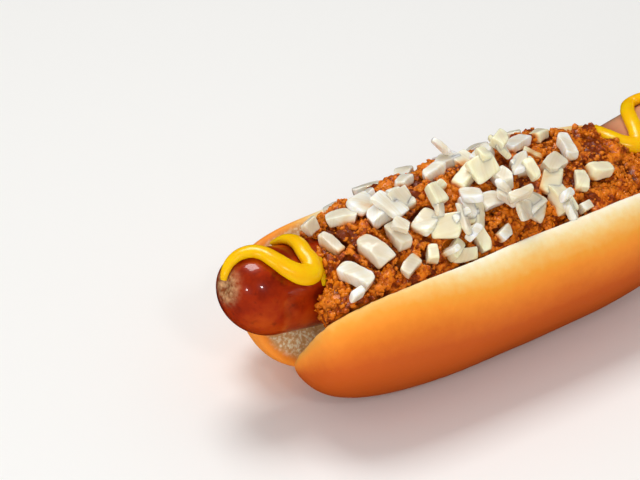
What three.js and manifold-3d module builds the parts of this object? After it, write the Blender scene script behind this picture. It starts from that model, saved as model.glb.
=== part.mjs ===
// A chili dog: a soft bun sliced along its side and set cut side up, a grilled sausage wedged in
// the slit, mustard in a zigzag, a heap of chili over the middle and diced raw onion on top.
// Millimetres. +X runs along the sausage, +Y to the lower half of the bun, +Z up. The origin is
// on the table, under the middle of the whole.
import * as THREE from "three";
import { mergeVertices } from "three/addons/utils/BufferGeometryUtils.js";
import Module from "manifold-3d";

// Driving dimensions.
const SAUSAGE_DIAMETER = 24;
const SAUSAGE_LENGTH = 168;
const NEAR_END_RISE = 10; // how far the sausage's bowed ends come up above its middle
const FAR_END_RISE = 12.5;
const BUN_LENGTH = 137;
const LOBE_THICKNESS = 20.5; // of each half of the bun, from the cut face to the crust
const MIDDLE_SWELL = 2; // what the half lying towards -Y has on top of that in its middle
const NEAR_LOBE_HEIGHT = 51.5; // from the spine to the cut rim, before the bun is opened
const FAR_LOBE_HEIGHT = 44.5;
const BUN_FLOOR = 5; // crumb and crust left uncut under the slit
const SPINE_HEIGHT = 7.5; // of the bottom of the opened slit above the table
const OPENING = THREE.MathUtils.degToRad(32); // each half leans out by this much
const FLARE = THREE.MathUtils.degToRad(5); // and its rim by this much more
const MUSTARD_WIDTH = 4.4;
const MUSTARD_THICKNESS = 2.9;
const HEAP_START = -58; // where the chili begins along the sausage
const HEAP_END = 54;
const HEAP_CREST = 55.5; // the chili's highest line above the table
const HEAP_NEAR_REACH = 25.5; // from the heap's middle line out to the near rim
const HEAP_FAR_REACH = 22.5;
const ONION_LAYER = 3.4; // thickness of one layer of the diced onion
const GAP = 0.3; // kept between pieces that touch

const MERGE_DISTANCE = 1e-4;
const TINY = 1e-9; // a length below this counts as none

const wasm = await Module();
wasm.setup();

// A closed three.js geometry as a solid that can be cut and joined.
function toSolid(geometry) {
  const bare = geometry.clone();
  bare.deleteAttribute("normal");
  bare.deleteAttribute("uv");
  const merged = mergeVertices(bare, MERGE_DISTANCE);
  return new wasm.Manifold(
    new wasm.Mesh({
      numProp: 3,
      vertProperties: merged.attributes.position.array,
      triVerts: new Uint32Array(merged.index.array),
    }),
  );
}

// A solid back as a three.js geometry.
function toGeometry(solid) {
  const mesh = solid.getMesh();
  const geometry = new THREE.BufferGeometry();
  geometry.setAttribute("position", new THREE.BufferAttribute(mesh.vertProperties, 3));
  geometry.setIndex(new THREE.BufferAttribute(mesh.triVerts, 1));
  geometry.computeVertexNormals();
  return geometry;
}

// Moves every vertex of a geometry to where a function of its place puts it.
function reshape(geometry, move) {
  const places = geometry.attributes.position;
  const place = new THREE.Vector3();
  for (let i = 0; i < places.count; i += 1) {
    move(place.fromBufferAttribute(places, i));
    places.setXYZ(i, place.x, place.y, place.z);
  }
  return geometry;
}

const signedPower = (value, power) => Math.sign(value) * Math.abs(value) ** power;

const part = new THREE.Group();

function addPiece(name, geometry, colour, roughness) {
  const material = new THREE.MeshStandardMaterial({ color: colour, roughness, metalness: 0 });
  const mesh = new THREE.Mesh(geometry, material);
  mesh.name = name;
  part.add(mesh);
}

// Bun: a loaf slit from the top almost to the bottom, its halves laid open like a book.
const LOAF_SIDES = 36; // facets around the loaf
const LOAF_SLICES = 28; // and along it
const LOAF_TIP_POWER = 0.45; // under 1 makes the ends blunter than an ellipsoid's
const LOAF_SWELL_POWER = 0.53; // the same for how fast the section grows from the tips
const LOAF_SIDE_POWER = 0.9; // under 1 makes the section squarer than an ellipse
const TIP_LIFT = 5; // the underside curves up towards both ends, the rims stay level
const FOLD_START = THREE.MathUtils.degToRad(115); // the spine's crust gives way beyond this angle
const SPINE_LAP = 1.5; // the halves share this much crumb under the slit
const FACE_SLACK = 1e-6; // a cut face may lie this far past upright, in radians

// The closed loaf, standing on z = 0. swollen is what its middle has on top of its thickness.
function loafSolid(height, swollen) {
  const geometry = new THREE.SphereGeometry(1, LOAF_SIDES, LOAF_SLICES);
  geometry.rotateZ(Math.PI / 2);
  reshape(geometry, (p) => {
    const ring = Math.hypot(p.y, p.z);
    const swell = ring ** LOAF_SWELL_POWER;
    const across = ring > TINY ? p.y / ring : 0;
    const up = ring > TINY ? p.z / ring : 0;
    const along = signedPower(p.x, LOAF_TIP_POWER);
    const thickness = LOBE_THICKNESS + swollen * (1 - along ** 2) ** 2;
    p.x = (BUN_LENGTH / 2) * along;
    p.y = thickness * swell * signedPower(across, LOAF_SIDE_POWER);
    p.z = (height / 2) * (1 + swell * signedPower(up, LOAF_SIDE_POWER)) + TIP_LIFT * (1 - swell);
  });
  return toSolid(geometry);
}

// A box by its lowest and highest corners, as long as it takes to pass right through the bun.
function slab(yLow, yHigh, zLow, zHigh) {
  const box = new THREE.BoxGeometry(2 * BUN_LENGTH, yHigh - yLow, zHigh - zLow);
  return toSolid(box.translate(0, (yLow + yHigh) / 2, (zLow + zHigh) / 2));
}

// One half of the loaf, leaning out towards -Y about the bottom of the slit.
function openedHalf(height, swollen) {
  const half = loafSolid(height, swollen)
    .intersect(slab(-2 * LOBE_THICKNESS, SPINE_LAP, -height, 2 * height))
    .subtract(slab(0, 2 * LOBE_THICKNESS, BUN_FLOOR, 2 * height));
  const geometry = reshape(toGeometry(half), (p) => {
    const rise = p.z - BUN_FLOOR;
    const reach = Math.hypot(p.y, rise);
    let turn = Math.atan2(-p.y, rise);
    if (turn < -FACE_SLACK) turn += 2 * Math.PI;
    const give = THREE.MathUtils.clamp((Math.PI - turn) / (Math.PI - FOLD_START), 0, 1);
    turn += (OPENING + (FLARE * reach) / height) * give;
    p.y = -reach * Math.sin(turn);
    p.z = SPINE_HEIGHT + reach * Math.cos(turn);
  });
  return toSolid(geometry);
}

const nearHalf = openedHalf(NEAR_LOBE_HEIGHT, MIDDLE_SWELL);
const farHalf = openedHalf(FAR_LOBE_HEIGHT, 0).mirror([0, 1, 0]);
const aboveTable = slab(-BUN_LENGTH, BUN_LENGTH, 0, BUN_LENGTH);
const bunSolid = nearHalf.add(farHalf).intersect(aboveTable);
addPiece("bun", toGeometry(bunSolid), 0xe8934a, 0.6);

// Sausage: a round bar with domed ends, bowed so that both ends rise. It lies against both cut
// faces, which sets the height of its middle above the bottom of the slit.
const SAUSAGE_RADIUS = SAUSAGE_DIAMETER / 2;
const SAUSAGE_SEAT = 22.3; // from the bottom of the slit up to the sausage's middle line
const DOME_START = (SAUSAGE_LENGTH - SAUSAGE_DIAMETER) / 2; // where its round ends begin
const DOME_RINGS = 5;
const SAUSAGE_SIDES = 20;
const SAUSAGE_SLICES = 14;

// The height of the sausage's middle line.
function sausageAxis(x) {
  const rise = x < 0 ? NEAR_END_RISE : FAR_END_RISE;
  return SPINE_HEIGHT + SAUSAGE_SEAT + rise * ((2 * x) / SAUSAGE_LENGTH) ** 2;
}

function sausageGeometry(extra = 0) {
  const geometry = new THREE.CapsuleGeometry(
    SAUSAGE_RADIUS + extra,
    2 * DOME_START,
    DOME_RINGS,
    SAUSAGE_SIDES,
    SAUSAGE_SLICES,
  );
  geometry.rotateZ(Math.PI / 2);
  return reshape(geometry, (p) => {
    p.z += sausageAxis(p.x);
  });
}

addPiece("sausage", sausageGeometry(), 0x9a2e10, 0.3);

// Mustard: one thick thread laid in a zigzag over each end of the sausage, flattened a little by
// its own weight. The points are places on the sausage seen from above; their height follows
// from its round back.
const NEAR_MUSTARD = [
  [-84.6, 0.5], [-83.5, 1.2], [-80, 1.8], [-76, 1], [-73, -1.5], [-71, -5.5], [-68.5, -9.3],
  [-65.5, -11.6], [-62.5, -11.7], [-61.2, -9], [-61, -5], [-60, 0], [-60.5, 4.5], [-62, 8],
];
const FAR_MUSTARD = [
  [47, 8.5], [45.8, 4], [46, -2], [48.5, -7], [52, -9.2], [54, -6], [56, -1], [60, 5],
  [64, 8], [67, 4], [69, -3], [73, -7], [77, -5], [80, 0], [83, 3],
];
const MUSTARD_STEP = 1.9; // length of one facet of the thread
const MUSTARD_ARC_STEPS = 4; // two sides each

// Moves the end point of a line away from the point before it.
function lengthen(end, before, extra) {
  end.addScaledVector(end.clone().sub(before).normalize(), extra);
}

function mustardGeometry(places, extra = 0) {
  const bed = SAUSAGE_RADIUS + GAP;
  const reach = bed + MUSTARD_WIDTH / 2;
  const points = places.map(([x, y]) => {
    const beyond = Math.max(Math.abs(x) - DOME_START, 0);
    const height = Math.sqrt(Math.max(reach ** 2 - y ** 2 - beyond ** 2, 0));
    return new THREE.Vector3(x, y, sausageAxis(x) + height);
  });
  lengthen(points[0], points[1], extra);
  lengthen(points.at(-1), points.at(-2), extra);
  const extrudePath = new THREE.CatmullRomCurve3(points);
  const steps = Math.round(extrudePath.getLength() / MUSTARD_STEP);
  const section = new THREE.Shape();
  section.absarc(0, 0, MUSTARD_WIDTH / 2 + extra, 0, 2 * Math.PI);
  const geometry = new THREE.ExtrudeGeometry(section, {
    steps,
    extrudePath,
    curveSegments: MUSTARD_ARC_STEPS,
  });
  const flatness = (MUSTARD_THICKNESS + extra) / MUSTARD_WIDTH;
  return reshape(geometry, (p) => {
    const x = THREE.MathUtils.clamp(p.x, -DOME_START, DOME_START);
    const middle = new THREE.Vector3(x, 0, sausageAxis(p.x));
    const out = p.clone().sub(middle);
    const above = out.length() - bed;
    p.copy(middle).addScaledVector(out.normalize(), bed + flatness * above);
  });
}

addPiece("mustard_near", mustardGeometry(NEAR_MUSTARD), 0xf7bd14, 0.35);
addPiece("mustard_far", mustardGeometry(FAR_MUSTARD), 0xf7bd14, 0.35);

// Chili: one heap that fills the space between the sausage and the cut faces of the bun and
// crowns over the sausage. Its surface is lumpy with ground meat.
const HEAP_MIDDLE_Y = -2;
const HEAP_BELT = 34.5; // the height at which the heap is widest
const HEAP_BOTTOM = 24.5;
const HEAP_SIDES = 28;
const HEAP_SLICES = 30;
const HEAP_CREST_X = -8; // the crest is highest here and falls towards both ends
const HEAP_FALL = 0.0022; // per millimetre, squared along the sausage
const HEAP_SLANT = 0.42; // the near side of the start runs on further than its far side
const HEAP_TIP_POWER = 0.4;
const HEAP_SIDE_POWER = 1.3; // over 1 makes its sides straighter than an ellipse's
const HEAP_NOSE_POWER = 9; // lumps push its ends out along the sausage only close to their tips
const LUMP_SIZES = [11, 7.3];
const LUMP_HEIGHTS = [0.45, 0.3];
const LUMP_BEND = 1.5; // how far each wave of lumps bends, in radians
const LUMP_BEND_RATE = 0.7; // how fast it bends, beside the wave's own rate

// A wave along one direction whose crests wind about as they cross another.
function windingWave(along, across, start) {
  return Math.sin(along + LUMP_BEND * Math.sin(LUMP_BEND_RATE * across + start));
}

// A bumpy pattern through space, from crossed waves of the lumps' sizes.
function lumps(p) {
  return LUMP_SIZES.reduce((sum, size, i) => {
    const { x, y, z } = p.clone().multiplyScalar((2 * Math.PI) / size);
    const pattern = windingWave(x, y, i) + windingWave(y, z, 2 * i) + windingWave(z, x, 3 * i);
    return sum + LUMP_HEIGHTS[i] * pattern;
  }, 0);
}

function heapGeometry(lumpScale) {
  const geometry = new THREE.SphereGeometry(1, HEAP_SIDES, HEAP_SLICES);
  geometry.rotateZ(Math.PI / 2);
  return reshape(geometry, (p) => {
    const ring = Math.hypot(p.y, p.z);
    const swell = ring ** HEAP_TIP_POWER;
    const across = ring > TINY ? p.y / ring : 0;
    const up = ring > TINY ? p.z / ring : 0;
    const along = signedPower(p.x, HEAP_TIP_POWER);
    p.x = (HEAP_START + HEAP_END) / 2 + (along * (HEAP_END - HEAP_START)) / 2;
    const crest = HEAP_CREST - HEAP_FALL * (p.x - HEAP_CREST_X) ** 2;
    const reach = across < 0 ? HEAP_NEAR_REACH : HEAP_FAR_REACH;
    const depth = up > 0 ? crest - HEAP_BELT : HEAP_BELT - HEAP_BOTTOM;
    p.y = HEAP_MIDDLE_Y + reach * swell * signedPower(across, HEAP_SIDE_POWER);
    p.z = HEAP_BELT + depth * swell * signedPower(up, HEAP_SIDE_POWER);
    p.x += (HEAP_SLANT * p.y * (1 - along)) / 2;
    const bump = lumpScale * lumps(p);
    p.y += bump * across;
    p.z += bump * up;
    p.x += bump * along ** HEAP_NOSE_POWER;
  });
}

// Onion: dice cut from the curved layers of a raw onion. Each row is a place seen from above, the
// heading of the long side in degrees, the length and the width. Later rows lie on earlier ones.
const ONION_PLACES = [
  [-56, -6, 100, 8.5, 4.5], [-54, 2.5, 10, 8, 4], [-47, -0.5, 150, 9, 7], [-40.5, -4.5, 0, 8, 6],
  [-38, 2.5, 20, 8, 6], [-33, -1, 0, 7, 6], [-33.5, -7.5, 5, 8, 4.5], [-38, -11.5, -95, 10, 6],
  [-45, -14.5, -80, 11, 7.5], [-38.5, -15.5, 40, 6.5, 6.5], [-52, -17, -66, 10.5, 6.5],
  [-58, -22.5, 5, 6.5, 4], [-41, -22, 20, 8, 6], [-34.5, -22.5, 60, 7, 6], [-31, -15.5, 20, 9, 7.5],
  [-24.5, -11.5, 5, 9, 9], [-27, -1.5, 30, 7, 6], [-19, -1, 5, 11, 5.5], [-21.5, -6.5, 10, 8, 5],
  [-13, -6.5, 20, 9.5, 6.5], [-9, 3, 0, 8.5, 5.5], [-2.5, -0.5, 10, 8, 6], [-5, -7, 0, 7, 6.5],
  [3.5, -4, 30, 9, 8], [-8, -12, 0, 8, 6.5], [0, -11, 10, 7, 6.5], [8, -9, 0, 8, 6.5],
  [-14, -13, 80, 9, 7], [-16, -21.5, 90, 8, 5.5], [-11.5, -22, 20, 7, 5.5],
  [-5, -18.5, -52, 11, 4.5], [3.5, -18.5, 20, 9, 7], [-5, -23, -5, 11, 5], [6.5, -15, 90, 9, 6],
  [14.5, -11, 20, 8, 6.5], [13, -18, 90, 10.5, 7], [19.5, -17, 60, 10, 7], [11.5, -23, 10, 7.5, 5],
  [19, -23, 10, 7.5, 5], [28, -15.5, -15, 11, 8.5], [24, -8.5, 80, 10, 6.5],
  [23.5, -1, 20, 8.5, 7.5], [13.5, -0.5, 10, 9, 6], [-28, -21.5, 30, 8, 6],
  [-21.5, -18.5, 10, 9, 5], [-20, -22.5, 20, 8, 5], [-40, 12, 60, 8, 6], [-28, 12.5, -20, 9, 6],
  [-15, 13, 40, 9, 6.5], [-2, 12.5, 80, 8, 6], [10, 13, 10, 9, 6], [22, 12.5, -40, 8, 6],
];
const ONION_CURVE = 19; // radius of the outside of a layer
const LAYER_SPREAD = 0.25; // dice differ in thickness by up to this share of it
const CURVE_SPREAD = 0.3;
const ONION_SINK = 0.05; // of a layer's thickness, how far the middle of a die lies above the chili
const ONION_TILT = THREE.MathUtils.degToRad(13); // the most that a die lies askew
const ONION_FLATNESS = 0.3; // dice lie this much flatter than the slope under them
const ONION_TRIMS = [1, 0.92, 0.84, 0.76, 0.68]; // a die that would cut into another is made smaller
const ONION_NUDGES = [0, 0.8, 1.6, 2.6]; // or moves aside by one of these
const NUDGE_HEADINGS = 8;
const ONION_RAISE = 0.4; // and, where neither does, goes up in steps of this
const ARC_STEPS = 2;
const DIE_REACH = 14; // dice further apart than this never touch
const SEEDS = { thickness: 1000, curve: 2000, roll: 3000, pitch: 4000 };
const SEED_STEP = 7;

// A number from -1 to 1 that looks random, the same on every run.
const scatter = (index, seed) => 2 * THREE.MathUtils.seededRandom(seed + SEED_STEP * index) - 1;

// One die about the origin: a short stretch of a curved layer, thinner or thicker by its number.
function onionGeometry(length, width, index, extra = 0) {
  const thickness = ONION_LAYER * (1 + LAYER_SPREAD * scatter(index, SEEDS.thickness)) + 2 * extra;
  const outer = ONION_CURVE * (1 + CURVE_SPREAD * scatter(index, SEEDS.curve));
  const half = (length / 2 + extra) / outer;
  const slice = new THREE.Shape();
  slice.absarc(0, 0, outer, Math.PI / 2 - half, Math.PI / 2 + half, false);
  slice.absarc(0, 0, outer - thickness, Math.PI / 2 + half, Math.PI / 2 - half, true);
  const depth = width + 2 * extra;
  const geometry = new THREE.ExtrudeGeometry(slice, {
    depth,
    bevelEnabled: false,
    curveSegments: ARC_STEPS,
  });
  return geometry.translate(0, thickness / 2 - outer, -depth / 2).rotateX(Math.PI / 2);
}

// Where the smooth heap's surface lies under a place seen from above, and which way it faces. It
// gives nothing beside the heap.
const smoothHeap = new THREE.Mesh(heapGeometry(0));
function surfaceAt(x, y) {
  const fromAbove = new THREE.Vector3(x, y, 2 * HEAP_CREST);
  const [hit] = new THREE.Raycaster(fromAbove, new THREE.Vector3(0, 0, -1)).intersectObject(smoothHeap);
  return hit ? { point: hit.point, normal: hit.face.normal } : undefined;
}

// The turn and place of a die: flat on the heap, a little askew, its long side by the heading.
function lieOn(x, y, heading, index) {
  const { point, normal } = surfaceAt(x, y);
  point.addScaledVector(normal, ONION_SINK * ONION_LAYER);
  const up = new THREE.Vector3(0, 0, 1);
  const flat = new THREE.Quaternion().setFromUnitVectors(up, normal.lerp(up, ONION_FLATNESS).normalize());
  const askew = new THREE.Quaternion().setFromEuler(
    new THREE.Euler(
      ONION_TILT * scatter(index, SEEDS.roll),
      ONION_TILT * scatter(index, SEEDS.pitch),
      THREE.MathUtils.degToRad(heading),
      "ZYX",
    ),
  );
  return new THREE.Matrix4().compose(point, flat.multiply(askew), new THREE.Vector3(1, 1, 1));
}

// Where a die may be moved to: its own place first, then rings of places around it.
const nudges = ONION_NUDGES.flatMap((distance) =>
  Array.from({ length: distance > 0 ? NUDGE_HEADINGS : 1 }, (_, step) => {
    const heading = (2 * Math.PI * step) / NUDGE_HEADINGS;
    return [distance * Math.cos(heading), distance * Math.sin(heading)];
  }),
);

const sausageSolid = toSolid(sausageGeometry(GAP));
const nearMustardSolid = toSolid(mustardGeometry(NEAR_MUSTARD, GAP));
const farMustardSolid = toSolid(mustardGeometry(FAR_MUSTARD, GAP));
const bunGap = bunSolid
  .add(nearHalf.translate(0, GAP, GAP))
  .add(farHalf.translate(0, -GAP, GAP));
const placed = [];
let chiliSolid = toSolid(heapGeometry(1))
  .subtract(bunGap)
  .subtract(sausageSolid)
  .subtract(nearMustardSolid)
  .subtract(farMustardSolid);

ONION_PLACES.forEach(([wantedX, wantedY, heading, length, width], index) => {
  const near = placed.filter((other) => Math.hypot(other.x - wantedX, other.y - wantedY) < DIE_REACH);
  const obstacles = [bunGap, sausageSolid, nearMustardSolid, ...near.map((other) => other.solid)];
  const clear = (solid) => obstacles.every((other) => other.intersect(solid).isEmpty());
  const dieSolid = ({ x, y, trim }, extra) => {
    const geometry = onionGeometry(trim * length, trim * width, index, extra);
    return toSolid(geometry.applyMatrix4(lieOn(x, y, heading, index)));
  };
  const places = nudges
    .map(([aside, back]) => ({ x: wantedX + aside, y: wantedY + back }))
    .filter(({ x, y }) => surfaceAt(x, y));
  const choices = ONION_TRIMS.flatMap((trim) => places.map((place) => ({ ...place, trim })));
  const lastResort = { x: wantedX, y: wantedY, trim: ONION_TRIMS.at(-1) };
  const choice = choices.find((place) => clear(dieSolid(place, GAP))) ?? lastResort;
  let grown = dieSolid(choice, GAP);
  let raised = 0;
  while (!clear(grown)) {
    grown = grown.translate(0, 0, ONION_RAISE);
    raised += ONION_RAISE;
  }
  const solid = dieSolid(choice, 0).translate(0, 0, raised);
  placed.push({ x: choice.x, y: choice.y, solid });
  chiliSolid = chiliSolid.subtract(grown);
  addPiece(`onion_${String(index + 1).padStart(2, "0")}`, toGeometry(solid), 0xefe6cc, 0.35);
});

const [chiliBody] = chiliSolid.decompose().sort((a, b) => b.volume() - a.volume());
addPiece("chili", toGeometry(chiliBody), 0xb3601f, 0.55);

// The whole is set down with the middle of its outline over the origin.
const middle = new THREE.Box3().setFromObject(part).getCenter(new THREE.Vector3());
for (const piece of part.children) piece.geometry.translate(-middle.x, -middle.y, 0);

export default part;
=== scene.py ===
# A chili dog: a soft bun laid open, a grilled sausage, mustard, meat chili and diced raw onion.
# Metres, +X along the sausage, +Y to the lower half of the bun, +Z up.
import math
import random

import bmesh
import bpy
from mathutils import Matrix, Vector, noise
from mathutils.bvhtree import BVHTree
from mathutils.kdtree import KDTree


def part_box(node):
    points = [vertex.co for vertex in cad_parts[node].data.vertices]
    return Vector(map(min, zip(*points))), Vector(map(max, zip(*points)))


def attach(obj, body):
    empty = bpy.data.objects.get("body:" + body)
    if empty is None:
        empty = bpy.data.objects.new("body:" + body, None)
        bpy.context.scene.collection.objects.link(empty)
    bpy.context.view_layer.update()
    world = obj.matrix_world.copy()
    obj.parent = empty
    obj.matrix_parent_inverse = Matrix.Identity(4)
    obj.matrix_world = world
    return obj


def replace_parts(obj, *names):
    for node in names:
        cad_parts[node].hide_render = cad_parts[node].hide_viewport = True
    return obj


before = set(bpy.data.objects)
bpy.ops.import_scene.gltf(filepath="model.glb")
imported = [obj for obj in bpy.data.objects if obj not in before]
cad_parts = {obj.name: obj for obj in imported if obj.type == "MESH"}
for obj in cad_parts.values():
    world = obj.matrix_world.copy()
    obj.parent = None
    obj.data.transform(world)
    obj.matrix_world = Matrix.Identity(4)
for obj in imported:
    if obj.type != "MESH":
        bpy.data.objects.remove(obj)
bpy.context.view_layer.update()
# Every run draws the same noise.
noise.seed_set(3)
MM = 0.001


# Studio: a pale table top in soft white light, with two small bright lamps that put hard little
# glints on everything wet. The camera stands where the photographer's stood. The front lamp, the
# sky and the table top don't show in what is glossy, so dark skin and sauce get no milky haze.
CAMERA_PLACE = Vector((-310.9, -362.3, 325.6)) * MM
CAMERA_AZIMUTH = math.radians(-35.3)
CAMERA_ELEVATION = math.radians(32)
FOCAL_PIXELS = 2004
PICTURE_WIDTH = 640
FLOOR_SIDE = 4.0
# The table top lies this far under the bun, so that the two don't share a plane.
FLOOR_DROP = 0.1 * MM


def linear(code):
    """A colour written as sRGB hex, in the linear values that shaders take."""
    channels = [int(code[start:start + 2], 16) / 255 for start in (1, 3, 5)]
    return (*(c / 12.92 if c <= 0.04045 else ((c + 0.055) / 1.055) ** 2.4 for c in channels), 1.0)


def add_node(material, kind, inputs=None, stops=None, **settings):
    """Adds a node. inputs are links or values by socket name, stops a ramp's places and colours."""
    new = material.node_tree.nodes.new(kind)
    for key, value in settings.items():
        setattr(new, key, value)
    for key, value in (inputs or {}).items():
        if isinstance(value, bpy.types.NodeSocket):
            material.node_tree.links.new(value, new.inputs[key])
        else:
            new.inputs[key].default_value = value
    for index, (place, code) in enumerate(stops or ()):
        ramp = new.color_ramp.elements
        stop = ramp[index] if index < 2 else ramp.new(place)
        stop.position = place
        stop.color = linear(code)
    return new


def new_material(name):
    """A material with nothing in it but its output node."""
    material = bpy.data.materials.new(name)
    material.use_nodes = True
    material.node_tree.nodes.clear()
    add_node(material, "ShaderNodeOutputMaterial")
    return material


def finish_material(material, inputs):
    """Puts a Principled shader with these inputs on the material's output."""
    shader = add_node(material, "ShaderNodeBsdfPrincipled", inputs)
    output = material.node_tree.nodes["Material Output"]
    material.node_tree.links.new(shader.outputs["BSDF"], output.inputs["Surface"])
    return material


def soft_box(name, way, size, power, mirrored=True):
    """A lamp 1 m out, side in metres and power in watts. What is glossy shows it if it is mirrored."""
    lamp = bpy.data.lights.new(name, "AREA")
    lamp.size = size
    lamp.energy = power
    holder = bpy.data.objects.new(name, lamp)
    holder.location = Vector(way).normalized()
    holder.rotation_euler = Vector(way).to_track_quat("Z", "Y").to_euler()
    holder.visible_glossy = mirrored
    bpy.context.scene.collection.objects.link(holder)


camera_lens = bpy.data.cameras.new("camera")
camera_lens.sensor_width = 36
camera_lens.lens = FOCAL_PIXELS * camera_lens.sensor_width / PICTURE_WIDTH
camera_lens.clip_start = 0.01
camera = bpy.data.objects.new("camera", camera_lens)
camera.location = CAMERA_PLACE
camera.rotation_euler = (math.pi / 2 - CAMERA_ELEVATION, 0, CAMERA_AZIMUTH)
bpy.context.scene.collection.objects.link(camera)
bpy.context.scene.camera = camera
bpy.context.scene.view_settings.view_transform = "Standard"

soft_box("overhead", (0.0, 0.24, 0.97), 0.4, 4.3)
soft_box("front", (-0.8, -0.6, 0.4), 0.5, 2.6, mirrored=False)
soft_box("glint_front", (-0.27, -0.74, 0.69), 0.09, 0.8)
soft_box("glint_left", (-0.91, -0.37, 0.44), 0.09, 0.6)

sky = bpy.data.worlds.new("studio")
sky.use_nodes = True
sky.node_tree.nodes["Background"].inputs["Color"].default_value = (1, 1, 1, 1)
sky.node_tree.nodes["Background"].inputs["Strength"].default_value = 0.46
sky.cycles_visibility.glossy = False
bpy.context.scene.world = sky

# White laminate: even, pale and hardly glossy.
laminate = finish_material(new_material("white laminate"), {
    "Base Color": linear("#F7F6F3"),
    "Roughness": 0.7,
})
floor_mesh = bmesh.new()
bmesh.ops.create_grid(floor_mesh, size=FLOOR_SIDE / 2, matrix=Matrix.Translation((0, 0, -FLOOR_DROP)))
floor_data = bpy.data.meshes.new("floor")
floor_mesh.to_mesh(floor_data)
floor_mesh.free()
floor = bpy.data.objects.new("floor", floor_data)
floor.data.materials.append(laminate)
floor.visible_glossy = False
bpy.context.scene.collection.objects.link(floor)


# Bun: a soft wheat loaf, slit along its top and laid open. Its thin crust is smooth, pale along the
# rims and golden to orange-brown further down; the crumb that the knife laid bare is porous.
SAUSAGE_LOW, SAUSAGE_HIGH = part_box("sausage")
MIDDLE = (SAUSAGE_LOW + SAUSAGE_HIGH) / 2
SLIT_DEPTH = 10.3 * MM
SLIT_BOTTOM = SAUSAGE_LOW.z - SLIT_DEPTH
# How far each half's cut face leans out from upright, and how much further at its rim.
LOBE_OPENING = math.radians(32)
RIM_FLARE = math.radians(5)
LOBE_HEIGHT = 48 * MM
# Toast runs from 0, the palest crust, to 1. The loaf is palest near its middle and browner to its
# ends, from and to these distances. Its far half is paler, and even and golden at its tips.
PALEST = 8 * MM
END_TOAST = 0.055
BROWNER_FROM, BROWNER_TO = 26 * MM, 68 * MM
FAR_HALF_TOAST = 0.7
FAR_TIP_TOAST = 0.115
TIP_FROM, TIP_TO = 40 * MM, 66 * MM
# What lies deeper than this under the cut face is crust.
CRUST_DEPTH = 1.5 * MM
# The crumb is fully bare this far from the crust, give or take the wander, which changes every 5 mm.
RIM_BAKE = 3.6 * MM
RIM_WANDER = 1.2 * MM
WANDER_SIZE = 5 * MM
BUN_SWELL = 0.5 * MM
SWELL_SIZE = 28 * MM
PORE_DEPTH = 0.3 * MM
PORE_SIZE = 1.1 * MM
BUN_VOXEL = 0.9 * MM


def add_piece(name, mesh, material):
    """A new object for a mesh, riding on the whole and finished with the given material."""
    piece = bpy.data.objects.new(name, mesh)
    piece.data.materials.clear()
    piece.data.materials.append(material)
    bpy.context.scene.collection.objects.link(piece)
    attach(piece, "root")
    return piece


def mesh_from(shape, name):
    """A mesh from a bmesh, smooth shaded."""
    mesh = bpy.data.meshes.new(name)
    shape.to_mesh(mesh)
    shape.free()
    mesh.shade_smooth()
    return mesh


def welded(*nodes):
    """A bmesh of the CAD nodes' meshes, their loose triangles joined up."""
    shape = bmesh.new()
    for node in nodes:
        shape.from_mesh(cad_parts[node].data)
    bmesh.ops.remove_doubles(shape, verts=shape.verts, dist=0.001 * MM)
    return shape


def apply_modifier(piece, kind, **settings):
    """Gives the piece the shape that one modifier makes of it."""
    modifier = piece.modifiers.new(kind, kind)
    for key, value in settings.items():
        setattr(modifier, key, value)
    graph = bpy.context.evaluated_depsgraph_get()
    shaped = bpy.data.meshes.new_from_object(piece.evaluated_get(graph))
    piece.modifiers.clear()
    piece.data = shaped


def store(piece, name, values):
    """Keeps one number for each vertex, for the piece's material to read."""
    layer = piece.data.attributes.new(name, "FLOAT", "POINT")
    layer.data.foreach_set("value", values)


def push_out(piece, distances):
    """Moves every vertex along its own normal, each by its own distance."""
    vertices = piece.data.vertices
    places = [vertex.co + vertex.normal * step for vertex, step in zip(vertices, distances)]
    for vertex, place in zip(vertices, places):
        vertex.co = place


def ease(low, high, value):
    """0 below low, 1 above high and a smooth rise between them."""
    share = min(max((value - low) / (high - low), 0), 1)
    return share * share * (3 - 2 * share)


def in_bun(place):
    """How deep a place lies under its half's cut face, and its share of the way from rim to spine."""
    across = abs(place.y - MIDDLE.y)
    up = place.z - SLIT_BOTTOM
    reach = math.hypot(across, up)
    lean = math.atan2(across, up)
    face = LOBE_OPENING + RIM_FLARE * reach / LOBE_HEIGHT
    return reach * math.sin(lean - face), (lean - face) / (math.pi - face)


# Baked wheat dough: a dry, smooth crust with a faint sheen, over a matt and porous crumb.
baked = new_material("baked wheat crust and crumb")
where = add_node(baked, "ShaderNodeTexCoord").outputs["Object"]
toast = add_node(baked, "ShaderNodeAttribute", attribute_name="toast").outputs["Fac"]
crumb = add_node(baked, "ShaderNodeAttribute", attribute_name="crumb").outputs["Fac"]
# Baked unevenly, in clouds 20 mm across.
clouds = add_node(baked, "ShaderNodeTexNoise", {"Vector": where, "Scale": 1 / 0.02, "Detail": 3.0})
cloudy = add_node(baked, "ShaderNodeMath", {0: clouds.outputs["Fac"], 1: 0.03, 2: -0.028},
                  operation="MULTIPLY_ADD")
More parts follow.
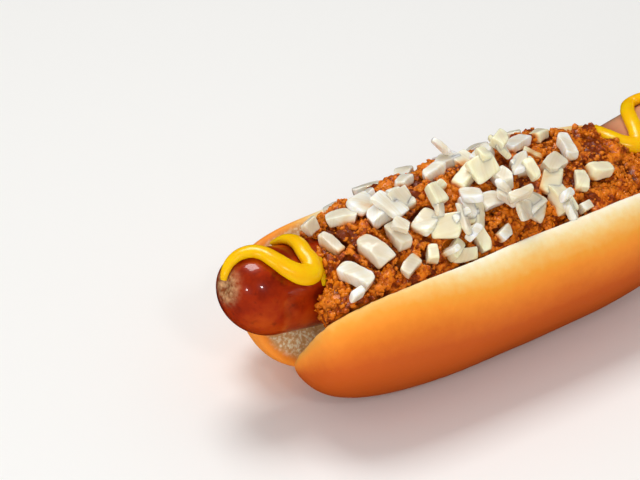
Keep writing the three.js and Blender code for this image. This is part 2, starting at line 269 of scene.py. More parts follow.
# Small specks that browned sooner, about 2.5 mm apart.
specks = add_node(baked, "ShaderNodeTexNoise", {"Vector": where, "Scale": 1 / 0.0025, "Detail": 4.0,
                                                "Roughness": 0.6})
speckled = add_node(baked, "ShaderNodeMath", {0: specks.outputs["Fac"], 1: 0.026, 2: cloudy.outputs[0]},
                    operation="MULTIPLY_ADD")
uneven = add_node(baked, "ShaderNodeMath", {0: toast, 1: speckled.outputs[0]}, operation="ADD")
crust_colour = add_node(baked, "ShaderNodeValToRGB", {"Fac": uneven.outputs[0]}, stops=[
    (0.0, "#FFFAE6"), (1.0, "#A84410"), (0.03, "#FBDFA2"), (0.055, "#FCC46C"), (0.085, "#FDA63A"),
    (0.11, "#FF972D"), (0.16, "#E8761A"), (0.21, "#D25C12"), (0.34, "#C4540C"),
])
# Open pores of the crumb, about 1 mm across.
pores = add_node(baked, "ShaderNodeTexNoise", {"Vector": where, "Scale": 1 / 0.001, "Detail": 3.0})
crumb_colour = add_node(baked, "ShaderNodeValToRGB", {"Fac": pores.outputs["Fac"]}, stops=[
    (0.35, "#D8A468"), (0.64, "#FFF4D0"), (0.5, "#E8BC84"),
])
bun_colour = add_node(baked, "ShaderNodeMix", {
    "Factor": crumb, "A": crust_colour.outputs["Color"], "B": crumb_colour.outputs["Color"],
}, data_type="RGBA")
# Fine wrinkles of the crust, about 1.6 mm apart.
wrinkles = add_node(baked, "ShaderNodeTexNoise", {"Vector": where, "Scale": 1 / 0.0016, "Detail": 4.0})
pitted = add_node(baked, "ShaderNodeMix", {
    "Factor": crumb, "A": wrinkles.outputs["Fac"], "B": pores.outputs["Fac"],
}, data_type="FLOAT")
relief = add_node(baked, "ShaderNodeBump", {
    "Height": pitted.outputs["Result"], "Distance": 0.12 * MM, "Strength": 0.5,
})
rough = add_node(baked, "ShaderNodeMapRange", {"Value": crumb, "To Min": 0.48, "To Max": 0.9})
finish_material(baked, {
    "Base Color": bun_colour.outputs["Result"],
    "Roughness": rough.outputs["Result"],
    "Normal": relief.outputs["Normal"],
    "Specular IOR Level": 0.25,
    "Subsurface Weight": 0.1,
    "Subsurface Radius": (2.0, 1.0, 0.4),
    "Subsurface Scale": 1.0 * MM,
})

bun = add_piece("bun_loaf", mesh_from(welded("bun"), "bun_loaf"), baked)
apply_modifier(bun, "REMESH", mode="VOXEL", voxel_size=BUN_VOXEL, use_smooth_shade=True)
apply_modifier(bun, "SMOOTH", factor=0.5, iterations=40)
crust_places = [vertex.co for vertex in bun.data.vertices if in_bun(vertex.co)[0] > CRUST_DEPTH]
crust_finder = KDTree(len(crust_places))
for index, place in enumerate(crust_places):
    crust_finder.insert(place, index)
crust_finder.balance()
crumb_share = []
toast_share = []
bun_relief = []
for vertex in bun.data.vertices:
    around = in_bun(vertex.co)[1]
    from_rim = crust_finder.find(vertex.co)[2] + RIM_WANDER * noise.noise(vertex.co / WANDER_SIZE)
    bare = ease(0.4 * RIM_BAKE, RIM_BAKE, from_rim)
    from_pale = abs(vertex.co.x - PALEST)
    crumb_share.append(bare)
    baked_share = max(around, 0) + END_TOAST * ease(BROWNER_FROM, BROWNER_TO, from_pale)
    if vertex.co.y > MIDDLE.y:
        baked_share *= FAR_HALF_TOAST
        baked_share += (FAR_TIP_TOAST - baked_share) * ease(TIP_FROM, TIP_TO, from_pale)
    toast_share.append(baked_share)
    # Both go mostly inwards, so that the loaf stays inside its CAD solid.
    swell = noise.noise(vertex.co / SWELL_SIZE) - 0.6
    holes = noise.noise(vertex.co / PORE_SIZE) - 0.4
    bun_relief.append(BUN_SWELL * swell + PORE_DEPTH * bare * holes)
push_out(bun, bun_relief)
store(bun, "crumb", crumb_share)
store(bun, "toast", toast_share)
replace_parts(bun, "bun")


# Sausage: fine ground meat in a tight skin, grilled until it is red-brown and glossy. It is bowed,
# and its skin is gathered into a small puckered knot at each end.
SAUSAGE_RADIUS = 12 * MM
DOME_START = (SAUSAGE_HIGH.x - SAUSAGE_LOW.x) / 2 - SAUSAGE_RADIUS
AXIS_HEIGHT = SAUSAGE_LOW.z + SAUSAGE_RADIUS
# How much higher than its middle the sausage's two ends lie.
NEAR_END_RISE = 10 * MM
FAR_END_RISE = 12.5 * MM
SAUSAGE_SIDES = 96
SAUSAGE_RINGS = 47
SAUSAGE_SLICES = 110
# The puckered knot sits above the middle of each tip.
PUCKER_REACH = 6.5 * MM
PUCKER_LIFT = 3.5 * MM
PUCKER_FOLDS = 9
PUCKER_WIDTH = 1.6 * MM
PUCKER_DEPTH = 1.3 * MM
FOLD_HEIGHT = 0.7 * MM
SKIN_SWELL = 0.45 * MM
SKIN_SWELL_SIZE = 16 * MM
# Beyond this, to the far end, the top of the sausage is paler: less browned skin and a painted soft
# reflection.
PALE_SHEEN_START = 44 * MM
PALE_SHEEN_BLEND = 12 * MM
PALE_SHEEN_MOST = 0.8


def sausage_axis(x):
    """The height of the sausage's bowed middle line."""
    rise = NEAR_END_RISE if x < MIDDLE.x else FAR_END_RISE
    return AXIS_HEIGHT + rise * ((x - MIDDLE.x) / (DOME_START + SAUSAGE_RADIUS)) ** 2


# Sausage skin: thin, tight, browned and wet with fat, so it is dark red with hard, bright highlights.
skin = new_material("grilled sausage skin")
where = add_node(skin, "ShaderNodeTexCoord").outputs["Object"]
pucker = add_node(skin, "ShaderNodeAttribute", attribute_name="pucker").outputs["Fac"]
pale_sheen = add_node(skin, "ShaderNodeAttribute", attribute_name="pale_sheen").outputs["Fac"]
# Browned in patches of about 9 mm, with darker freckles of 2 mm.
patches = add_node(skin, "ShaderNodeTexNoise", {"Vector": where, "Scale": 1 / 0.009, "Detail": 4.0,
                                                "Roughness": 0.55})
browned = add_node(skin, "ShaderNodeValToRGB", {"Fac": patches.outputs["Fac"]}, stops=[
    (0.32, "#721402"), (0.72, "#BE4808"), (0.5, "#A22A02"),
])
freckles = add_node(skin, "ShaderNodeTexNoise", {"Vector": where, "Scale": 1 / 0.002, "Detail": 2.0})
dark_share = add_node(skin, "ShaderNodeMapRange", {
    "Value": freckles.outputs["Fac"], "From Min": 0.58, "From Max": 0.8, "To Max": 0.55,
})
freckled = add_node(skin, "ShaderNodeMix", {
    "Factor": dark_share.outputs["Result"], "A": browned.outputs["Color"], "B": linear("#4A0E04"),
}, data_type="RGBA")
# Fat and wrinkles in the knot, about 1.2 mm apart.
fat = add_node(skin, "ShaderNodeTexNoise", {"Vector": where, "Scale": 1 / 0.0012, "Detail": 3.0})
knot_colour = add_node(skin, "ShaderNodeValToRGB", {"Fac": fat.outputs["Fac"]}, stops=[
    (0.35, "#8A4A24"), (0.7, "#D8A878"),
])
# Paler top at the far end: partly less browned skin, partly a painted soft reflection of the overhead
# lamp.
pale_sheened = add_node(skin, "ShaderNodeMix", {
    "Factor": pale_sheen, "A": freckled.outputs["Result"], "B": linear("#E8AE84"),
}, data_type="RGBA")
skin_colour = add_node(skin, "ShaderNodeMix", {
    "Factor": pucker, "A": pale_sheened.outputs["Result"], "B": knot_colour.outputs["Color"],
}, data_type="RGBA")
skin_relief = add_node(skin, "ShaderNodeBump", {
    "Height": freckles.outputs["Fac"], "Distance": 0.08 * MM, "Strength": 0.35,
})
finish_material(skin, {
    "Base Color": skin_colour.outputs["Result"],
    "Roughness": 0.3,
    "Specular IOR Level": 0.2,
    "Normal": skin_relief.outputs["Normal"],
    "Subsurface Weight": 0.12,
    "Subsurface Radius": (3.0, 0.8, 0.3),
    "Subsurface Scale": 1.0 * MM,
    "Coat Weight": 0.7,
    "Coat Roughness": 0.04,
})

tube = bmesh.new()
lying = Matrix.Rotation(math.pi / 2, 4, "Y")
bmesh.ops.create_uvsphere(tube, u_segments=SAUSAGE_SIDES, v_segments=SAUSAGE_RINGS,
                          radius=SAUSAGE_RADIUS, matrix=lying)
for vertex in tube.verts:
    vertex.co.x += math.copysign(DOME_START, vertex.co.x)
lengthwise = [edge for edge in tube.edges if edge.calc_length() > DOME_START]
bmesh.ops.subdivide_edges(tube, edges=lengthwise, cuts=SAUSAGE_SLICES, use_grid_fill=True)
bmesh.ops.recalc_face_normals(tube, faces=tube.faces)
pucker_share = []
pale_sheen_share = []
tube.normal_update()
for vertex in tube.verts:
    radius = math.hypot(vertex.co.y, vertex.co.z - PUCKER_LIFT)
    turn = math.atan2(vertex.co.z - PUCKER_LIFT, vertex.co.y)
    end = math.copysign(1, vertex.co.x)
    past_dome = ease(0, SAUSAGE_RADIUS / 2, abs(vertex.co.x) - DOME_START)
    at_tip = past_dome * (1 - ease(PUCKER_REACH / 3, PUCKER_REACH, radius))
    fold = noise.noise(Vector((math.cos(turn), math.sin(turn), end)) * PUCKER_FOLDS / 3)
    pucker_share.append(at_tip)
    # Painted soft reflection, with less browned skin, on top of the far end.
    on_top = ease(0.1 * SAUSAGE_RADIUS, 0.95 * SAUSAGE_RADIUS, vertex.co.z)
    pale_sheen_share.append(PALE_SHEEN_MOST * on_top * ease(PALE_SHEEN_START, PALE_SHEEN_START + PALE_SHEEN_BLEND, vertex.co.x))
    hollow = math.exp(-(radius / PUCKER_WIDTH) ** 2)
    uneven_skin = noise.noise(vertex.co / SKIN_SWELL_SIZE) - 0.5
    vertex.co += vertex.normal * (SKIN_SWELL * uneven_skin + FOLD_HEIGHT * at_tip * fold)
    vertex.co.x -= end * PUCKER_DEPTH * hollow
    vertex.co.x += MIDDLE.x
    vertex.co.y += MIDDLE.y
    vertex.co.z += sausage_axis(vertex.co.x)
sausage = add_piece("grilled_sausage", mesh_from(tube, "grilled_sausage"), skin)
store(sausage, "pucker", pucker_share)
store(sausage, "pale_sheen", pale_sheen_share)
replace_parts(sausage, "sausage")


# Mustard: smooth yellow mustard squeezed from a bottle in one zigzag over each end of the sausage.
# It lies flattened on the skin, thin where the squeeze starts and stops and fat where it turns.
MUSTARD_FLATNESS = 0.72
# The threads' undersides lie a little under the skin, so that no gap shows.
MUSTARD_BED = SAUSAGE_RADIUS - 0.35 * MM
MUSTARD_VOXEL = 0.32 * MM
# Place along and across the sausage from its middle, and width, in millimetres.
NEAR_THREAD = [
    (-83.6, 0.3, 2.2), (-82.6, 1, 2.9), (-80, 1.6, 3.6), (-76, 0.8, 4.2), (-73, -1.5, 4.6),
    (-71, -5.3, 5.0), (-68.5, -8.8, 5.5), (-65.5, -10.6, 6.2), (-62.8, -10.6, 6.2),
    (-61.5, -8.5, 5.6), (-61.3, -4.8, 4.8), (-60.6, 0, 4.5), (-61.2, 4.5, 3.8), (-63.5, 8, 1.8),
]
FAR_THREAD = [
    (47, 8.5, 2.2), (45.8, 4, 4.2), (46, -2, 4.8), (48.5, -7, 5.2), (52, -9, 5.6), (54, -6, 5.0),
    (56, -1, 4.6), (60, 5, 4.4), (64, 7.6, 4.6), (67, 4, 4.4), (69, -3, 4.6), (73, -7, 5.0),
    (77, -5, 4.4), (79.5, 0, 3.8), (81.5, 2.5, 2.0),
]
# What shows of the zigzag that runs on under the chili.
HIDDEN_THREAD = [(-59.6, -11, 1.2), (-58.9, -9.4, 2.6), (-58.5, -7.4, 3.0), (-58.4, -5.2, 2.4)]

# Mustard: a smooth, wet paste that light enters a little, so its shadows stay warm and yellow.
sauce = new_material("yellow mustard")
where = add_node(sauce, "ShaderNodeTexCoord").outputs["Object"]
# Slightly uneven, in swirls of about 4 mm.
swirl = add_node(sauce, "ShaderNodeTexNoise", {"Vector": where, "Scale": 1 / 0.004, "Detail": 2.0})
sauce_colour = add_node(sauce, "ShaderNodeValToRGB", {"Fac": swirl.outputs["Fac"]}, stops=[
    (0.3, "#FFB800"), (0.7, "#FFC900"),
])
sauce_relief = add_node(sauce, "ShaderNodeBump", {
    "Height": swirl.outputs["Fac"], "Distance": 0.15 * MM, "Strength": 0.3,
})
finish_material(sauce, {
    "Base Color": sauce_colour.outputs["Color"],
    "Roughness": 0.24,
    "Normal": sauce_relief.outputs["Normal"],
    "Subsurface Weight": 0.5,
    "Subsurface Radius": (2.0, 1.4, 0.3),
    "Subsurface Scale": 1.5 * MM,
})


def squeeze(name, thread):
    """One thread of mustard over the sausage."""
    line = bpy.data.curves.new(name, "CURVE")
    line.dimensions = "3D"
    line.bevel_depth = MM / 2
    line.bevel_resolution = 6
    line.use_fill_caps = True
    spline = line.splines.new("BEZIER")
    spline.resolution_u = 10
    spline.bezier_points.add(len(thread) - 1)
    for point, (along, across, width) in zip(spline.bezier_points, thread):
        x = MIDDLE.x + along * MM
        reach = MUSTARD_BED + width * MM / 2
        beyond = max(abs(along * MM) - DOME_START, 0)
        above = math.sqrt(max(reach ** 2 - (across * MM) ** 2 - beyond ** 2, 0))
        point.co = (x, MIDDLE.y + across * MM, sausage_axis(x) + above)
        point.radius = width
        point.handle_left_type = "AUTO"
        point.handle_right_type = "AUTO"
    drawn = bpy.data.objects.new(name + "_line", line)
    bpy.context.scene.collection.objects.link(drawn)
    graph = bpy.context.evaluated_depsgraph_get()
    mesh = bpy.data.meshes.new_from_object(drawn.evaluated_get(graph))
    bpy.data.objects.remove(drawn)
    for vertex in mesh.vertices:
        from_middle = min(max(vertex.co.x - MIDDLE.x, -DOME_START), DOME_START)
        centre = Vector((MIDDLE.x + from_middle, MIDDLE.y, sausage_axis(vertex.co.x)))
        out = vertex.co - centre
        settled = MUSTARD_BED + (out.length - MUSTARD_BED) * MUSTARD_FLATNESS
        vertex.co = centre + out.normalized() * settled
    piece = add_piece(name, mesh, sauce)
    apply_modifier(piece, "REMESH", mode="VOXEL", voxel_size=MUSTARD_VOXEL, use_smooth_shade=True)
    apply_modifier(piece, "SMOOTH", factor=0.5, iterations=6)
    return piece


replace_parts(squeeze("mustard_thread_near", NEAR_THREAD), "mustard_near")
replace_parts(squeeze("mustard_thread_far", FAR_THREAD), "mustard_far")
squeeze("mustard_glimpse", HIDDEN_THREAD)


# Chili: coarsely ground beef stewed in a thick orange sauce, spooned over the sausage. The mass is
# clumps of crumbs, their hollows painted darker as shade, and loose crumbs of up to 2.5 mm lie on top.
CHILI_VOXEL = 0.47 * MM
# Clumps on clumps, each kind with its width and height. Every clump of one kind has its own shade.
SHADE_CLUMP = 4.2 * MM
SHADE_CELLS = 3.1
CLUMPS = ((8.5 * MM, 1.3 * MM), (SHADE_CLUMP, 1.0 * MM), (1.9 * MM, 0.8 * MM), (1.0 * MM, 0.4 * MM))
CLUMP_STEEPNESS = 1.25
CLUMP_BEND = 0.6
BEND_SIZE = 2.5 * MM
CHILI_SETTLE = 2.3 * MM
# A place that rises less than the first of these is in a hollow, and more than the second on a clump.
HOLLOW_RISE, CLUMP_RISE = 0.7 * MM, 2.1 * MM
# Where the spoon left more: place along and across, reach and extra height, in millimetres.
SPOONFULS = [(-42, 8, 6, 2.8), (-24, 9, 4, 1.6), (-6, 10, 5, 1.8), (22, 9, 5, 1.4)]
LOOSE_CRUMBS = 3900
CRUMBS_AT_ONCE = 100
CRUMB_SHAPES = 12
SMALLEST_CRUMB = 0.6 * MM
LARGEST_CRUMB = 2.0 * MM
# The higher this is, the more of the crumbs are small.
CRUMB_SMALLNESS = 2.5
CRUMB_SIDES = (1.25, 1, 0.8)
CRUMB_LUMPS = 0.32
# How lit a crumb's foot counts, against 1 for its top: the foot is painted darker, as shade where it
# sits.
CRUMB_FOOT_LIT = 0.6
# A place holds loose crumbs when it looks up at least this much.
LEAST_UP = 0.05
# Smooth patches of sauce without loose crumbs, about this wide: there a noise is under a limit
# drawn between these.
SAUCY_SPOT = 14 * MM
SAUCY_LIMITS = (-0.8, 0.2)

# Ground beef in sauce: rough crumbs that scatter light, under a thin oily film with tiny highlights.
meat = new_material("ground beef chili")
where = add_node(meat, "ShaderNodeTexCoord").outputs["Object"]
lit_share = add_node(meat, "ShaderNodeAttribute", attribute_name="lit_share").outputs["Fac"]
lot = add_node(meat, "ShaderNodeAttribute", attribute_name="lot").outputs["Fac"]
# Sauce and meat alternate in blotches of about 5 mm; single crumbs differ too.
blotches = add_node(meat, "ShaderNodeTexNoise", {"Vector": where, "Scale": 1 / 0.005, "Detail": 3.0})
crumb_mix = add_node(meat, "ShaderNodeMath", {0: lot, 1: 0.3, 2: blotches.outputs["Fac"]},
                     operation="MULTIPLY_ADD")
# Single grains of the meat, 1 mm across.
grains = add_node(meat, "ShaderNodeTexNoise", {"Vector": where, "Scale": 1 / 0.001, "Detail": 3.0,
                                               "Roughness": 0.6})
grainy = add_node(meat, "ShaderNodeMath", {0: grains.outputs["Fac"], 1: 0.8, 2: crumb_mix.outputs[0]},
                  operation="MULTIPLY_ADD")
meat_colour = add_node(meat, "ShaderNodeValToRGB", {"Fac": grainy.outputs[0]}, stops=[
    (0.7, "#7C2E00"), (1.0, "#F08418"), (0.84, "#B84E04"),
])
# Painted shade: hollows of the mass and feet of the loose crumbs get this darker brown.
shaded_meat_colour = add_node(meat, "ShaderNodeMix", {
    "Factor": lit_share, "A": linear("#702800"), "B": meat_colour.outputs["Color"],
}, data_type="RGBA")
meat_relief = add_node(meat, "ShaderNodeBump", {
    "Height": grains.outputs["Fac"], "Distance": 0.5 * MM, "Strength": 0.8,
})
wetness = add_node(meat, "ShaderNodeMapRange", {
    "Value": blotches.outputs["Fac"], "From Min": 0.35, "From Max": 0.65, "To Min": 0.45, "To Max": 0.2,
})
finish_material(meat, {
    "Base Color": shaded_meat_colour.outputs["Result"],
    "Roughness": wetness.outputs["Result"],
    "Specular IOR Level": 0.3,
    "Normal": meat_relief.outputs["Normal"],
    "Subsurface Weight": 0.1,
    "Subsurface Radius": (2.0, 0.8, 0.3),
    "Subsurface Scale": 0.8 * MM,
    "Coat Weight": 0.2,
    "Coat Roughness": 0.06,
})

chili = add_piece("chili_mass", mesh_from(welded("chili"), "chili_mass"), meat)
apply_modifier(chili, "REMESH", mode="VOXEL", voxel_size=CHILI_VOXEL, use_smooth_shade=True)
apply_modifier(chili, "SMOOTH", factor=0.5, iterations=5)
chili_lit_share = []
chili_lot = []
chili_relief = []
for vertex in chili.data.vertices:
    bent = vertex.co / MM + noise.noise_vector(vertex.co / BEND_SIZE) * CLUMP_BEND
    rise = 0
    for size, step in CLUMPS:
        distances, centres = noise.voronoi(bent * MM / size)
        rise += step * (1 - min(CLUMP_STEEPNESS * distances[0], 1) ** 2)
        if size == SHADE_CLUMP:
            chili_lot.append(noise.cell(centres[0] * SHADE_CELLS))
    # Painted shade: the lower a place lies between clumps, the darker its colour.
    chili_lit_share.append(ease(HOLLOW_RISE, CLUMP_RISE, rise))
    for along, across, reach, extra in SPOONFULS:
        aside = math.hypot(vertex.co.x / MM - along, vertex.co.y / MM - across) / reach
        rise += extra * MM * math.exp(-aside ** 2) * max(vertex.normal.z, 0)
    chili_relief.append(rise - CHILI_SETTLE)
push_out(chili, chili_relief)
store(chili, "lit_share", chili_lit_share)
store(chili, "lot", chili_lot)
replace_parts(chili, "chili")


def surface_tree(piece):
    """The piece's surface, for finding the nearest place on it."""
    return BVHTree.FromPolygons(
        [vertex.co for vertex in piece.data.vertices],
        [polygon.vertices for polygon in piece.data.polygons],
    )


def random_turn(chance):
    """A turn to any side."""
    return Matrix.Rotation(chance.uniform(0, 2 * math.pi), 4, (chance.gauss(0, 1), chance.gauss(0, 1), 1))


chili_surface = surface_tree(chili)
chance = random.Random(11)
crumb_shapes = []
for number in range(CRUMB_SHAPES):
    shape = bmesh.new()
    bmesh.ops.create_cube(shape, size=1)
    bmesh.ops.subdivide_edges(shape, edges=shape.edges, cuts=1, use_grid_fill=True)
    for vertex in shape.verts:
        vertex.co = vertex.co.normalized() * 0.5
        lump = noise.noise_vector(vertex.co * 2.2 + Vector((9 * number, 0, 0)))
        vertex.co += lump * CRUMB_LUMPS
    crumb_shapes.append(mesh_from(shape, "crumb_shape"))


def crumb_batch(faces):
    """A mesh of loose crumbs, one pressed into each of these faces of the chili."""
    batch = bmesh.new()
    lot_layer = batch.verts.layers.float.new("lot")
    lit_share_layer = batch.verts.layers.float.new("lit_share")
    for face in faces:
        share = chance.random() ** CRUMB_SMALLNESS
        crumb_size = SMALLEST_CRUMB + (LARGEST_CRUMB - SMALLEST_CRUMB) * share
        stretch = Matrix.Diagonal((*[side * crumb_size for side in CRUMB_SIDES], 1))
        first = len(batch.verts)
        batch.from_mesh(chance.choice(crumb_shapes))
        batch.verts.ensure_lookup_table()
        mine = batch.verts[first:]
        pressed = Matrix.Translation(face.center) @ random_turn(chance) @ stretch
        bmesh.ops.transform(batch, verts=mine, matrix=pressed)
        crumb_lot = chance.random()
        for vertex in mine:
            above = (vertex.co - face.center).dot(face.normal) / crumb_size
            vertex[lot_layer] = crumb_lot
            # Painted shade: a crumb's foot is darker than its top.
            vertex[lit_share_layer] = CRUMB_FOOT_LIT + (1 - CRUMB_FOOT_LIT) * ease(-0.2, 0.4, above)
    return mesh_from(batch, "crumb_batch")


open_faces = [
    face for face in chili.data.polygons
    if face.normal.z > LEAST_UP and noise.noise(face.center / SAUCY_SPOT) > chance.uniform(*SAUCY_LIMITS)
]
crumbs = bmesh.new()
for start in range(0, LOOSE_CRUMBS, CRUMBS_AT_ONCE):
    batch = crumb_batch(chance.sample(open_faces, CRUMBS_AT_ONCE))
    crumbs.from_mesh(batch)
    bpy.data.meshes.remove(batch)
for shape in crumb_shapes:
    bpy.data.meshes.remove(shape)
add_piece("chili_crumbs", mesh_from(crumbs, "chili_crumbs"), meat)


# Onion: raw white onion, cut by hand into dice of one layer each. The flesh is wet and half clear,
# white or greenish yellow, faintly striped, and stained by the sauce where it lies in it.
ONIONS = sorted(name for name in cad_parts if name.startswith("onion_"))
YELLOW_DICE = {14, 16, 19, 20, 23, 24, 29, 34, 36, 37, 40, 42, 44}
CLEAR_DICE = {1, 2, 8, 9, 10, 13, 32, 33, 35}
# Thin slices and dice on top of the others: place along and across, heading and lean in degrees,
# then length, width and thickness in millimetres, and how the flesh looks.
TOP_DICE = [
    (-39, 2, -12, 0, 8, 6.5, 3.2, "white"), (-27.7, -19.5, -105, 0, 9, 2.6, 2.2, "white"),
    (-25, -16.3, 16, 0, 9, 6.5, 2.8, "yellow"), (-18, -14, 13, 0, 7.5, 3.5, 2.2, "yellow"),
    (-24.5, -12.5, 25, 0, 4.5, 3, 2.4, "clear"), (-9, 7, -15, 62, 6.5, 2.6, 2.2, "white"),
    (-5.6, -7, 21, 0, 8, 7, 3.2, "yellow"), (-4.6, 3, 21, 0, 6.5, 6, 3, "white"),
    (-1.7, -20.7, -28, 0, 11, 5.5, 2.4, "clear"), (-22.8, -21.5, 0, 0, 7, 3.5, 2.4, "yellow"),
    (-13.1, -15.4, -129, 0, 9, 3.4, 2.6, "yellow"), (14.6, -12.5, -124, 0, 9, 6, 2.8, "yellow"),
    (-20.5, -18, 27, 0, 9.5, 3.4, 2.4, "clear"), (-12.6, -11, -74, 0, 7, 6, 2.8, "white"),
    (13.5, -22.3, -8, 0, 6, 5.5, 3, "white"), (15.3, -3.3, -91, 0, 5, 2.4, 2, "yellow"),
    (-36, -5.5, -75, 0, 9.5, 5.5, 2.8, "white"), (-31.5, -4.6, -5, 0, 7.5, 5, 2.4, "clear"),
    (6.7, -7.5, 5, 0, 9, 5, 2.6, "white"), (4.8, -1.4, -88, 0, 6.5, 6, 2.6, "yellow"),
    (3.6, -18.1, -50, 0, 8, 6.5, 2.4, "clear"), (-4.3, -15.4, -92, 0, 13, 3.2, 2.6, "white"),
]
# How high a top die's middle lies over its bed, as a share of how high it stands.
TOP_DIE_LIFT = 0.5
# How far a top die turns from the slope under it to level, as a share.
TOP_DIE_LEVEL = 0.2
# Each die is trimmed by cuts that lean up to this much and leave these shares of its reach.
DIE_CUTS = 3
CUT_LEAN = 0.3
CUT_SHARES = (0.7, 0.95)
CORNER_ANGLE = math.radians(25)
DIE_BEVEL = 0.32 * MM
DIE_FACET = 1.8 * MM
DIE_WARP = 0.55 * MM
WARP_SIZE = 6 * MM
DIE_DIMPLE = 0.12 * MM
DIMPLE_SIZE = 1.8 * MM
# A die has this share of its block's thickness, and sits this much deeper.
DIE_FLATNESS = 0.72
DIE_SINK = 0.4 * MM
# The clear middle of a die, with its painted warm tint, fades between these shares of the way to its
# furthest corner.
CORE_FADE = (0.45, 0.85)
# Sauce stains a die up to this far from the chili.
STAIN_DEPTH = 1.9 * MM

# Raw onion: wet cells full of juice, so light goes in and comes out again all over the die.
flesh = new_material("raw onion flesh")
where = add_node(flesh, "ShaderNodeTexCoord").outputs["Object"]
tint = add_node(flesh, "ShaderNodeAttribute", attribute_name="tint").outputs["Fac"]
grain_line = add_node(flesh, "ShaderNodeAttribute", attribute_name="grain").outputs["Fac"]
core = add_node(flesh, "ShaderNodeAttribute", attribute_name="core").outputs["Fac"]
stain = add_node(flesh, "ShaderNodeAttribute", attribute_name="stain").outputs["Fac"]
flesh_colour = add_node(flesh, "ShaderNodeValToRGB", {"Fac": tint}, stops=[
    (0.0, "#FAEEDA"), (1.0, "#FFF7D6"), (0.2, "#FDF4E6"), (0.35, "#FFFFFF"), (0.7, "#FFFDF4"),
])
# Cloudy inside, in patches of about 3 mm.
clouds = add_node(flesh, "ShaderNodeTexNoise", {"Vector": where, "Scale": 1 / 0.003, "Detail": 2.0})
cloud_share = add_node(flesh, "ShaderNodeMapRange", {
    "Value": clouds.outputs["Fac"], "From Min": 0.42, "From Max": 0.68, "To Max": 0.3,
})
cloudy = add_node(flesh, "ShaderNodeMix", {
    "Factor": cloud_share.outputs["Result"], "A": flesh_colour.outputs["Color"], "B": linear("#F0E0B4"),
}, data_type="RGBA")
# Veins across the die, somewhat under 1 mm apart.
veins = add_node(flesh, "ShaderNodeTexNoise", {"W": grain_line, "Scale": 1.3, "Detail": 2.0},
                 noise_dimensions="1D")
vein_share = add_node(flesh, "ShaderNodeMapRange", {
    "Value": veins.outputs["Fac"], "From Min": 0.45, "From Max": 0.65, "To Max": 0.4,
})
veined = add_node(flesh, "ShaderNodeMix", {
    "Factor": vein_share.outputs["Result"], "A": cloudy.outputs["Result"], "B": linear("#E6D8A0"),
}, data_type="RGBA")
# The middle of a die's face is clearer, and is painted warmer, as the chili seen through it.
core_share = add_node(flesh, "ShaderNodeMath", {0: core, 1: 0.6}, operation="MULTIPLY")
# Painted light: the warm middle stands for the chili seen through the die and leaves the edges paler, as
# painted bright rims.
painted_see_through = add_node(flesh, "ShaderNodeMix", {
    "Factor": core_share.outputs[0], "A": veined.outputs["Result"], "B": linear("#FAE6CA"),
}, data_type="RGBA")
sauce_tint = add_node(flesh, "ShaderNodeValToRGB", {"Fac": stain}, stops=[
    (0.0, "#F8D896"), (1.0, "#D87818"), (0.5, "#F0B04A"),
])
stained = add_node(flesh, "ShaderNodeMix", {
    "Factor": stain, "A": painted_see_through.outputs["Result"], "B": sauce_tint.outputs["Color"],
}, data_type="RGBA")
clear_flesh = add_node(flesh, "ShaderNodeMapRange", {
    "Value": tint, "From Min": 0.1, "From Max": 0.35, "To Min": 0.12, "To Max": 0.0,
})
clearness = add_node(flesh, "ShaderNodeMath", {0: core, 1: 0.13, 2: clear_flesh.outputs["Result"]},
                     operation="MULTIPLY_ADD")
finish_material(flesh, {
    "Base Color": stained.outputs["Result"],
    "Roughness": 0.22,
    "IOR": 1.36,
    "Transmission Weight": clearness.outputs[0],
    "Subsurface Weight": 0.7,
    "Subsurface Radius": (1.0, 0.9, 0.75),
    "Subsurface Scale": 0.8 * MM,
    "Coat Weight": 0.3,
    "Coat Roughness": 0.06,
})

chance = random.Random(5)
tints = {"clear": (0.0, 0.15), "white": (0.35, 0.8), "yellow": (1.0, 1.0)}
dice = bmesh.new()
tint_layer = dice.verts.layers.float.new("tint")
grain_layer = dice.verts.layers.float.new("grain")
core_layer = dice.verts.layers.float.new("core")


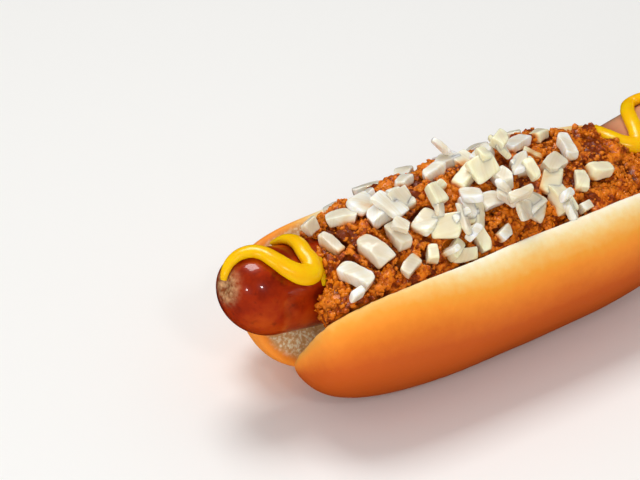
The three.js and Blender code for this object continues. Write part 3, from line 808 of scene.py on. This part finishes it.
def cut_die(block, thin_way, look):
    """Trims a block of onion to an irregular die and puts it with the others."""
    middle = sum((vertex.co for vertex in block.verts), Vector()) / len(block.verts)
    for cut in range(DIE_CUTS):
        turn = chance.uniform(0, 2 * math.pi)
        way = Vector((math.cos(turn), math.sin(turn), chance.uniform(-CUT_LEAN, CUT_LEAN))).normalized()
        reach = max((vertex.co - middle).dot(way) for vertex in block.verts)
        sliced = bmesh.ops.bisect_plane(
            block, geom=[*block.verts, *block.edges, *block.faces], clear_outer=True,
            plane_co=middle + way * reach * chance.uniform(*CUT_SHARES), plane_no=way,
        )
        rim = [piece for piece in sliced["geom_cut"] if isinstance(piece, bmesh.types.BMEdge)]
        bmesh.ops.holes_fill(block, edges=rim)
    corners = [edge for edge in block.edges if edge.calc_face_angle(0) > CORNER_ANGLE]
    bmesh.ops.bevel(block, geom=corners, offset=DIE_BEVEL, segments=1, profile=0.5,
                    affect="EDGES", clamp_overlap=True, material=-1)
    bmesh.ops.triangulate(block, faces=block.faces)
    long_edges = [edge for edge in block.edges if edge.calc_length() > DIE_FACET]
    bmesh.ops.subdivide_edges(block, edges=long_edges, cuts=2)
    bmesh.ops.triangulate(block, faces=block.faces)
    bmesh.ops.smooth_vert(block, verts=block.verts, factor=0.4,
                          use_axis_x=True, use_axis_y=True, use_axis_z=True)
    die = bpy.data.meshes.new("die")
    block.to_mesh(die)
    block.free()
    first = len(dice.verts)
    dice.from_mesh(die)
    bpy.data.meshes.remove(die)
    dice.verts.ensure_lookup_table()
    tint_of_die = chance.uniform(*tints[look])
    heading = Vector((chance.uniform(-1, 1), chance.uniform(-1, 1), 0.1)).normalized()
    corner = max((vertex.co - middle).length for vertex in dice.verts[first:])
    for vertex in dice.verts[first:]:
        local = vertex.co - middle
        vertex[tint_layer] = tint_of_die
        vertex[grain_layer] = local.dot(heading) / MM
        vertex[core_layer] = 1 - ease(*CORE_FADE, local.length / corner)
        warp = noise.noise_vector(local / WARP_SIZE + middle / MM) * DIE_WARP
        dimple = noise.noise_vector(local / DIMPLE_SIZE + middle / MM) * DIE_DIMPLE
        pressed = local - thin_way * local.dot(thin_way) * (1 - DIE_FLATNESS) - thin_way * DIE_SINK
        vertex.co = middle + pressed + warp + dimple


for number, node in enumerate(ONIONS, start=1):
    block = welded(node)
    bmesh.ops.dissolve_limit(block, angle_limit=math.radians(2), verts=block.verts, edges=block.edges)
    top = max(block.faces, key=lambda face: face.calc_area() + face.normal.z * MM ** 2)
    look = "clear" if number in CLEAR_DICE else "yellow" if number in YELLOW_DICE else "white"
    cut_die(block, top.normal.copy(), look)

UPRIGHT = Vector((0, 0, 1))


def top_at(carriers, x, y):
    """The height of the highest of these surfaces at a place, seen from above."""
    hits = [carrier.ray_cast(Vector((x, y, 1)), -UPRIGHT)[0] for carrier in carriers]
    return max((hit.z for hit in hits if hit), default=MIDDLE.z)


for along, across, heading, lean, *size, look in TOP_DICE:
    carriers = (chili_surface, BVHTree.FromBMesh(dice))
    x, y = along * MM, across * MM
    step = min(size[:2]) * MM / 2
    left, right = top_at(carriers, x - step, y), top_at(carriers, x + step, y)
    front, back = top_at(carriers, x, y - step), top_at(carriers, x, y + step)
    slope = Vector((left - right, front - back, 2 * step)).normalized()
    bed = (left + right + front + back + top_at(carriers, x, y)) / 5
    settled = slope.lerp(UPRIGHT, TOP_DIE_LEVEL).to_track_quat("Z", "Y").to_matrix().to_4x4()
    lift = TOP_DIE_LIFT * (size[2] + size[0] * math.sin(math.radians(lean))) * MM
    place = Matrix.Translation((x, y, bed + lift))
    turned = Matrix.Rotation(math.radians(heading), 4, "Z") @ Matrix.Rotation(math.radians(-lean), 4, "Y")
    shaped = Matrix.Diagonal((*[side * MM for side in size], 1))
    block = bmesh.new()
    bmesh.ops.create_cube(block, matrix=place @ settled @ turned @ shaped)
    cut_die(block, (settled @ turned).to_3x3() @ UPRIGHT, look)

onion = add_piece("diced_onion", mesh_from(dice, "diced_onion"), flesh)
apply_modifier(onion, "SUBSURF", levels=1, render_levels=1)
stain_share = []
for vertex in onion.data.vertices:
    distance = chili_surface.find_nearest(vertex.co)[3]
    stain_share.append(1 - ease(0, STAIN_DEPTH, distance))
store(onion, "stain", stain_share)
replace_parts(onion, *ONIONS)
